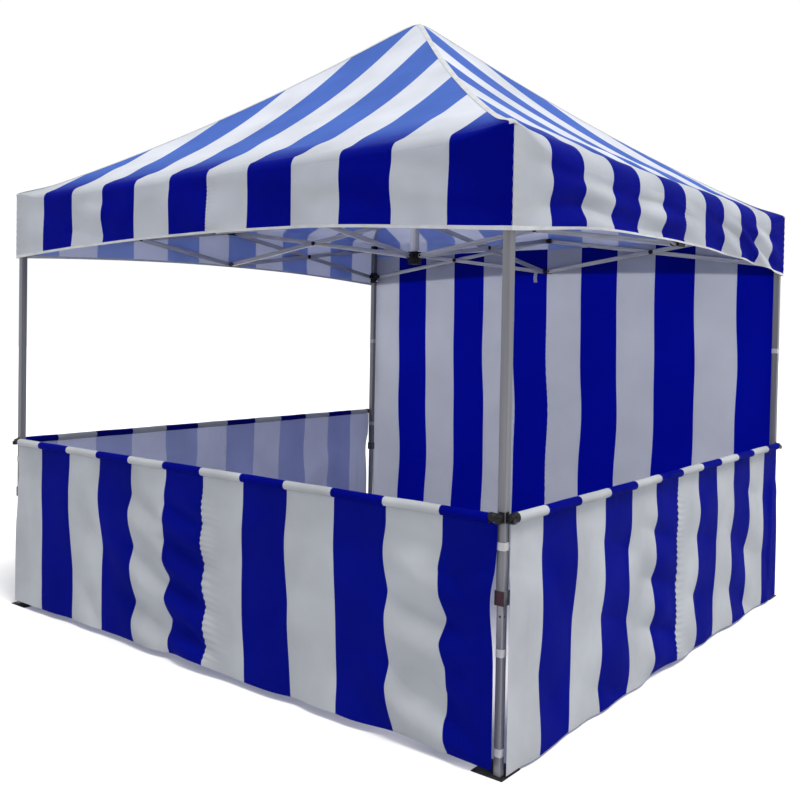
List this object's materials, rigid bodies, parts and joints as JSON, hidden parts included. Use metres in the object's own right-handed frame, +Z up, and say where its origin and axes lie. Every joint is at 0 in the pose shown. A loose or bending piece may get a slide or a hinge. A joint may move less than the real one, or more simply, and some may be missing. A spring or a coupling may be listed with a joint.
{
  "type": "pop up canopy",
  "caption": "Square pop-up canopy with a striped peaked cover, scissor truss, telescoping legs, half walls on rails and one full wall.",
  "frame": {"origin": "on the ground, at the middle of the canopy's box", "axes": "+Z up, -Y out of the front half wall, +X towards the right half wall"},
  "size_m": [3.053, 3.053, 3.165],
  "materials": {
    "leg_outer": "satin silver paint on square tube",
    "leg_inner": "satin silver square tube",
    "truss_bar": "satin silver rectangular tube",
    "peak_tube": "satin silver square tube",
    "rail_tube": "satin round tube",
    "black_bracket": "moulded black nylon",
    "pin_steel": "bright plated steel",
    "canopy_cloth": "blue and white striped coated polyester weave",
    "wall_cloth": "blue and white striped coated polyester weave"
  },
  "bodies": {
    "root": {"upper_hub": "black_bracket", "canopy": "canopy_cloth"},
    "spoke_down_front": {"spoke_down_front": "truss_bar"},
    "spoke_up_front": {"spoke_up_front": "truss_bar"},
    "middle_top_front": {"middle_bracket_top_front": "black_bracket"},
    "middle_bottom_front": {"middle_bracket_bottom_front": "black_bracket"},
    "lower_hub": {"lower_hub": "black_bracket", "peak_pole": "peak_tube", "peak_cap": "black_bracket"},
    "bar_front_end_outer": {"bar_front_end_outer": "truss_bar"},
    "bar_front_end_inner": {"bar_front_end_inner": "truss_bar"},
    "bar_front_start_outer": {"bar_front_start_outer": "truss_bar"},
    "bar_front_start_inner": {"bar_front_start_inner": "truss_bar"},
    "outer_leg_front_right": {"outer_leg_front_right": "leg_outer"},
    "inner_leg_front_right": {"inner_leg_front_right": "leg_inner"},
    "slider_front_right": {"slider_front_right": "black_bracket"},
    "slider_pin_front_right": {"slider_pin_front_right": "pin_steel"},
    "spoke_down_right": {"spoke_down_right": "truss_bar"},
    "spoke_up_right": {"spoke_up_right": "truss_bar"},
    "middle_top_right": {"middle_bracket_top_right": "black_bracket"},
    "middle_bottom_right": {"middle_bracket_bottom_right": "black_bracket"},
    "bar_right_end_outer": {"bar_right_end_outer": "truss_bar"},
    "bar_right_end_inner": {"bar_right_end_inner": "truss_bar"},
    "bar_right_start_outer": {"bar_right_start_outer": "truss_bar"},
    "bar_right_start_inner": {"bar_right_start_inner": "truss_bar"},
    "outer_leg_back_right": {"outer_leg_back_right": "leg_outer"},
    "inner_leg_back_right": {"inner_leg_back_right": "leg_inner"},
    "slider_back_right": {"slider_back_right": "black_bracket"},
    "slider_pin_back_right": {"slider_pin_back_right": "pin_steel"},
    "spoke_down_back": {"spoke_down_back": "truss_bar"},
    "spoke_up_back": {"spoke_up_back": "truss_bar"},
    "middle_top_back": {"middle_bracket_top_back": "black_bracket", "full_wall_back": "wall_cloth"},
    "middle_bottom_back": {"middle_bracket_bottom_back": "black_bracket"},
    "bar_back_end_outer": {"bar_back_end_outer": "truss_bar"},
    "bar_back_end_inner": {"bar_back_end_inner": "truss_bar"},
    "bar_back_start_outer": {"bar_back_start_outer": "truss_bar"},
    "bar_back_start_inner": {"bar_back_start_inner": "truss_bar"},
    "outer_leg_back_left": {"outer_leg_back_left": "leg_outer"},
    "inner_leg_back_left": {"inner_leg_back_left": "leg_inner"},
    "slider_back_left": {"slider_back_left": "black_bracket"},
    "slider_pin_back_left": {"slider_pin_back_left": "pin_steel"},
    "spoke_down_left": {"spoke_down_left": "truss_bar"},
    "spoke_up_left": {"spoke_up_left": "truss_bar"},
    "middle_top_left": {"middle_bracket_top_left": "black_bracket"},
    "middle_bottom_left": {"middle_bracket_bottom_left": "black_bracket"},
    "bar_left_end_outer": {"bar_left_end_outer": "truss_bar"},
    "bar_left_end_inner": {"bar_left_end_inner": "truss_bar"},
    "bar_left_start_outer": {"bar_left_start_outer": "truss_bar"},
    "bar_left_start_inner": {"bar_left_start_inner": "truss_bar"},
    "outer_leg_front_left": {"outer_leg_front_left": "leg_outer"},
    "inner_leg_front_left": {"inner_leg_front_left": "leg_inner"},
    "slider_front_left": {"slider_front_left": "black_bracket"},
    "slider_pin_front_left": {"slider_pin_front_left": "pin_steel"},
    "rail_front": {"rail_front": "rail_tube", "half_wall_front": "wall_cloth"},
    "rail_right": {"rail_right": "rail_tube", "half_wall_right": "wall_cloth"},
    "rail_left": {"rail_left": "rail_tube", "half_wall_left": "wall_cloth"}
  },
  "joints": [
    {"name": "frame_fold", "type": "hinge", "parent": "root", "child": "spoke_down_front", "pos_m": [0, -0.042, 2.107], "axis": [1, 0, 0], "range_deg": [0, 76.8], "deforming": ["canopy", "full_wall_back", "half_wall_front", "half_wall_right", "half_wall_left"]},
    {"name": "spoke_up_front_crossing", "type": "hinge", "parent": "spoke_down_front", "child": "spoke_up_front", "pos_m": [0, -0.747, 2.005], "axis": [-1, 0, 0], "range_deg": [0, 154]},
    {"name": "middle_top_front_hinge", "type": "hinge", "parent": "spoke_up_front", "child": "middle_top_front", "pos_m": [0, -1.452, 2.107], "axis": [1, 0, 0], "range_deg": [0, 77]},
    {"name": "middle_bottom_front_hinge", "type": "hinge", "parent": "spoke_down_front", "child": "middle_bottom_front", "pos_m": [0, -1.452, 1.903], "axis": [-1, 0, 0], "range_deg": [0, 77]},
    {"name": "lower_hub_hinge", "type": "hinge", "parent": "spoke_up_front", "child": "lower_hub", "pos_m": [0, -0.042, 1.903], "axis": [1, 0, 0], "range_deg": [0, 77]},
    {"name": "bar_front_end_outer_hinge", "type": "hinge", "parent": "middle_top_front", "child": "bar_front_end_outer", "pos_m": [0.026, -1.48, 2.107], "axis": [0, 1, 0], "range_deg": [0, 77]},
    {"name": "bar_front_end_inner_crossing", "type": "hinge", "parent": "bar_front_end_outer", "child": "bar_front_end_inner", "pos_m": [0.731, -1.48, 2.005], "axis": [0, -1, 0], "range_deg": [0, 154]},
    {"name": "bar_front_start_outer_hinge", "type": "hinge", "parent": "middle_top_front", "child": "bar_front_start_outer", "pos_m": [-0.026, -1.48, 2.107], "axis": [0, -1, 0], "range_deg": [0, 77]},
    {"name": "bar_front_start_inner_crossing", "type": "hinge", "parent": "bar_front_start_outer", "child": "bar_front_start_inner", "pos_m": [-0.731, -1.48, 2.005], "axis": [0, 1, 0], "range_deg": [0, 154]},
    {"name": "outer_leg_front_right_hinge", "type": "hinge", "parent": "bar_front_end_inner", "child": "outer_leg_front_right", "pos_m": [1.436, -1.48, 2.107], "axis": [0, 1, 0], "range_deg": [0, 77]},
    {"name": "slider_front_right_hinge", "type": "hinge", "parent": "bar_front_end_outer", "child": "slider_front_right", "pos_m": [1.436, -1.48, 1.903], "axis": [0, -1, 0], "range_deg": [0, 77]},
    {"name": "leg_length_front_right", "type": "slide", "parent": "outer_leg_front_right", "child": "inner_leg_front_right", "axis": [0, 0, 1], "range_m": [0, 0.55]},
    {"name": "slider_pin_front_right_pull", "type": "slide", "parent": "slider_front_right", "child": "slider_pin_front_right", "axis": [-1, 0, 0], "range_m": [0, 0.008], "stiffness_N_per_m": 600},
    {"name": "spoke_down_right_hinge", "type": "hinge", "parent": "root", "child": "spoke_down_right", "pos_m": [0.042, 0, 2.107], "axis": [0, 1, 0], "range_deg": [0, 77]},
    {"name": "spoke_up_right_crossing", "type": "hinge", "parent": "spoke_down_right", "child": "spoke_up_right", "pos_m": [0.747, 0, 2.005], "axis": [0, -1, 0], "range_deg": [0, 154]},
    {"name": "middle_top_right_hinge", "type": "hinge", "parent": "spoke_up_right", "child": "middle_top_right", "pos_m": [1.452, 0, 2.107], "axis": [0, 1, 0], "range_deg": [0, 77]},
    {"name": "middle_bottom_right_hinge", "type": "hinge", "parent": "spoke_down_right", "child": "middle_bottom_right", "pos_m": [1.452, 0, 1.903], "axis": [0, -1, 0], "range_deg": [0, 77]},
    {"name": "bar_right_end_outer_hinge", "type": "hinge", "parent": "middle_top_right", "child": "bar_right_end_outer", "pos_m": [1.48, 0.026, 2.107], "axis": [-1, 0, 0], "range_deg": [0, 77]},
    {"name": "bar_right_end_inner_crossing", "type": "hinge", "parent": "bar_right_end_outer", "child": "bar_right_end_inner", "pos_m": [1.48, 0.731, 2.005], "axis": [1, 0, 0], "range_deg": [0, 154]},
    {"name": "bar_right_start_outer_hinge", "type": "hinge", "parent": "middle_top_right", "child": "bar_right_start_outer", "pos_m": [1.48, -0.026, 2.107], "axis": [1, 0, 0], "range_deg": [0, 77]},
    {"name": "bar_right_start_inner_crossing", "type": "hinge", "parent": "bar_right_start_outer", "child": "bar_right_start_inner", "pos_m": [1.48, -0.731, 2.005], "axis": [-1, 0, 0], "range_deg": [0, 154]},
    {"name": "outer_leg_back_right_hinge", "type": "hinge", "parent": "bar_right_end_inner", "child": "outer_leg_back_right", "pos_m": [1.48, 1.436, 2.107], "axis": [-1, 0, 0], "range_deg": [0, 77]},
    {"name": "slider_back_right_hinge", "type": "hinge", "parent": "bar_right_end_outer", "child": "slider_back_right", "pos_m": [1.48, 1.436, 1.903], "axis": [1, 0, 0], "range_deg": [0, 77]},
    {"name": "leg_length_back_right", "type": "slide", "parent": "outer_leg_back_right", "child": "inner_leg_back_right", "axis": [0, 0, 1], "range_m": [0, 0.55]},
    {"name": "slider_pin_back_right_pull", "type": "slide", "parent": "slider_back_right", "child": "slider_pin_back_right", "axis": [0, -1, 0], "range_m": [0, 0.008], "stiffness_N_per_m": 600},
    {"name": "spoke_down_back_hinge", "type": "hinge", "parent": "root", "child": "spoke_down_back", "pos_m": [0, 0.042, 2.107], "axis": [-1, 0, 0], "range_deg": [0, 77]},
    {"name": "spoke_up_back_crossing", "type": "hinge", "parent": "spoke_down_back", "child": "spoke_up_back", "pos_m": [0, 0.747, 2.005], "axis": [1, 0, 0], "range_deg": [0, 154]},
    {"name": "middle_top_back_hinge", "type": "hinge", "parent": "spoke_up_back", "child": "middle_top_back", "pos_m": [0, 1.452, 2.107], "axis": [-1, 0, 0], "range_deg": [0, 77]},
    {"name": "middle_bottom_back_hinge", "type": "hinge", "parent": "spoke_down_back", "child": "middle_bottom_back", "pos_m": [0, 1.452, 1.903], "axis": [1, 0, 0], "range_deg": [0, 77]},
    {"name": "bar_back_end_outer_hinge", "type": "hinge", "parent": "middle_top_back", "child": "bar_back_end_outer", "pos_m": [-0.026, 1.48, 2.107], "axis": [0, -1, 0], "range_deg": [0, 77]},
    {"name": "bar_back_end_inner_crossing", "type": "hinge", "parent": "bar_back_end_outer", "child": "bar_back_end_inner", "pos_m": [-0.731, 1.48, 2.005], "axis": [0, 1, 0], "range_deg": [0, 154]},
    {"name": "bar_back_start_outer_hinge", "type": "hinge", "parent": "middle_top_back", "child": "bar_back_start_outer", "pos_m": [0.026, 1.48, 2.107], "axis": [0, 1, 0], "range_deg": [0, 77]},
    {"name": "bar_back_start_inner_crossing", "type": "hinge", "parent": "bar_back_start_outer", "child": "bar_back_start_inner", "pos_m": [0.731, 1.48, 2.005], "axis": [0, -1, 0], "range_deg": [0, 154]},
    {"name": "outer_leg_back_left_hinge", "type": "hinge", "parent": "bar_back_end_inner", "child": "outer_leg_back_left", "pos_m": [-1.436, 1.48, 2.107], "axis": [0, -1, 0], "range_deg": [0, 77]},
    {"name": "slider_back_left_hinge", "type": "hinge", "parent": "bar_back_end_outer", "child": "slider_back_left", "pos_m": [-1.436, 1.48, 1.903], "axis": [0, 1, 0], "range_deg": [0, 77]},
    {"name": "leg_length_back_left", "type": "slide", "parent": "outer_leg_back_left", "child": "inner_leg_back_left", "axis": [0, 0, 1], "range_m": [0, 0.55]},
    {"name": "slider_pin_back_left_pull", "type": "slide", "parent": "slider_back_left", "child": "slider_pin_back_left", "axis": [1, 0, 0], "range_m": [0, 0.008], "stiffness_N_per_m": 600},
    {"name": "spoke_down_left_hinge", "type": "hinge", "parent": "root", "child": "spoke_down_left", "pos_m": [-0.042, 0, 2.107], "axis": [0, -1, 0], "range_deg": [0, 77]},
    {"name": "spoke_up_left_crossing", "type": "hinge", "parent": "spoke_down_left", "child": "spoke_up_left", "pos_m": [-0.747, 0, 2.005], "axis": [0, 1, 0], "range_deg": [0, 154]},
    {"name": "middle_top_left_hinge", "type": "hinge", "parent": "spoke_up_left", "child": "middle_top_left", "pos_m": [-1.452, 0, 2.107], "axis": [0, -1, 0], "range_deg": [0, 77]},
    {"name": "middle_bottom_left_hinge", "type": "hinge", "parent": "spoke_down_left", "child": "middle_bottom_left", "pos_m": [-1.452, 0, 1.903], "axis": [0, 1, 0], "range_deg": [0, 77]},
    {"name": "bar_left_end_outer_hinge", "type": "hinge", "parent": "middle_top_left", "child": "bar_left_end_outer", "pos_m": [-1.48, -0.026, 2.107], "axis": [1, 0, 0], "range_deg": [0, 77]},
    {"name": "bar_left_end_inner_crossing", "type": "hinge", "parent": "bar_left_end_outer", "child": "bar_left_end_inner", "pos_m": [-1.48, -0.731, 2.005], "axis": [-1, 0, 0], "range_deg": [0, 154]},
    {"name": "bar_left_start_outer_hinge", "type": "hinge", "parent": "middle_top_left", "child": "bar_left_start_outer", "pos_m": [-1.48, 0.026, 2.107], "axis": [-1, 0, 0], "range_deg": [0, 77]},
    {"name": "bar_left_start_inner_crossing", "type": "hinge", "parent": "bar_left_start_outer", "child": "bar_left_start_inner", "pos_m": [-1.48, 0.731, 2.005], "axis": [1, 0, 0], "range_deg": [0, 154]},
    {"name": "outer_leg_front_left_hinge", "type": "hinge", "parent": "bar_left_end_inner", "child": "outer_leg_front_left", "pos_m": [-1.48, -1.436, 2.107], "axis": [1, 0, 0], "range_deg": [0, 77]},
    {"name": "slider_front_left_hinge", "type": "hinge", "parent": "bar_left_end_outer", "child": "slider_front_left", "pos_m": [-1.48, -1.436, 1.903], "axis": [-1, 0, 0], "range_deg": [0, 77]},
    {"name": "leg_length_front_left", "type": "slide", "parent": "outer_leg_front_left", "child": "inner_leg_front_left", "axis": [0, 0, 1], "range_m": [0, 0.55]},
    {"name": "slider_pin_front_left_pull", "type": "slide", "parent": "slider_front_left", "child": "slider_pin_front_left", "axis": [0, 1, 0], "range_m": [0, 0.008], "stiffness_N_per_m": 600},
    {"name": "rail_front_lift", "type": "slide", "parent": "outer_leg_front_right", "child": "rail_front", "axis": [0, 0, 1], "range_m": [0, 0.25]},
    {"name": "rail_right_lift", "type": "slide", "parent": "outer_leg_front_right", "child": "rail_right", "axis": [0, 0, 1], "range_m": [0, 0.25]},
    {"name": "rail_left_lift", "type": "slide", "parent": "outer_leg_front_left", "child": "rail_left", "axis": [0, 0, 1], "range_m": [0, 0.25]}
  ],
  "couplings": [
    {"joint": "spoke_up_front_crossing", "follows": "frame_fold", "ratio": 2},
    {"joint": "middle_top_front_hinge", "follows": "frame_fold", "ratio": 1},
    {"joint": "middle_bottom_front_hinge", "follows": "frame_fold", "ratio": 1},
    {"joint": "lower_hub_hinge", "follows": "frame_fold", "ratio": 1},
    {"joint": "bar_front_end_outer_hinge", "follows": "frame_fold", "ratio": 1},
    {"joint": "bar_front_end_inner_crossing", "follows": "frame_fold", "ratio": 2},
    {"joint": "bar_front_start_outer_hinge", "follows": "frame_fold", "ratio": 1},
    {"joint": "bar_front_start_inner_crossing", "follows": "frame_fold", "ratio": 2},
    {"joint": "outer_leg_front_right_hinge", "follows": "frame_fold", "ratio": 1},
    {"joint": "slider_front_right_hinge", "follows": "frame_fold", "ratio": 1},
    {"joint": "spoke_down_right_hinge", "follows": "frame_fold", "ratio": 1},
    {"joint": "spoke_up_right_crossing", "follows": "frame_fold", "ratio": 2},
    {"joint": "middle_top_right_hinge", "follows": "frame_fold", "ratio": 1},
    {"joint": "middle_bottom_right_hinge", "follows": "frame_fold", "ratio": 1},
    {"joint": "bar_right_end_outer_hinge", "follows": "frame_fold", "ratio": 1},
    {"joint": "bar_right_end_inner_crossing", "follows": "frame_fold", "ratio": 2},
    {"joint": "bar_right_start_outer_hinge", "follows": "frame_fold", "ratio": 1},
    {"joint": "bar_right_start_inner_crossing", "follows": "frame_fold", "ratio": 2},
    {"joint": "outer_leg_back_right_hinge", "follows": "frame_fold", "ratio": 1},
    {"joint": "slider_back_right_hinge", "follows": "frame_fold", "ratio": 1},
    {"joint": "spoke_down_back_hinge", "follows": "frame_fold", "ratio": 1},
    {"joint": "spoke_up_back_crossing", "follows": "frame_fold", "ratio": 2},
    {"joint": "middle_top_back_hinge", "follows": "frame_fold", "ratio": 1},
    {"joint": "middle_bottom_back_hinge", "follows": "frame_fold", "ratio": 1},
    {"joint": "bar_back_end_outer_hinge", "follows": "frame_fold", "ratio": 1},
    {"joint": "bar_back_end_inner_crossing", "follows": "frame_fold", "ratio": 2},
    {"joint": "bar_back_start_outer_hinge", "follows": "frame_fold", "ratio": 1},
    {"joint": "bar_back_start_inner_crossing", "follows": "frame_fold", "ratio": 2},
    {"joint": "outer_leg_back_left_hinge", "follows": "frame_fold", "ratio": 1},
    {"joint": "slider_back_left_hinge", "follows": "frame_fold", "ratio": 1},
    {"joint": "spoke_down_left_hinge", "follows": "frame_fold", "ratio": 1},
    {"joint": "spoke_up_left_crossing", "follows": "frame_fold", "ratio": 2},
    {"joint": "middle_top_left_hinge", "follows": "frame_fold", "ratio": 1},
    {"joint": "middle_bottom_left_hinge", "follows": "frame_fold", "ratio": 1},
    {"joint": "bar_left_end_outer_hinge", "follows": "frame_fold", "ratio": 1},
    {"joint": "bar_left_end_inner_crossing", "follows": "frame_fold", "ratio": 2},
    {"joint": "bar_left_start_outer_hinge", "follows": "frame_fold", "ratio": 1},
    {"joint": "bar_left_start_inner_crossing", "follows": "frame_fold", "ratio": 2},
    {"joint": "outer_leg_front_left_hinge", "follows": "frame_fold", "ratio": 1},
    {"joint": "slider_front_left_hinge", "follows": "frame_fold", "ratio": 1}
  ]
}
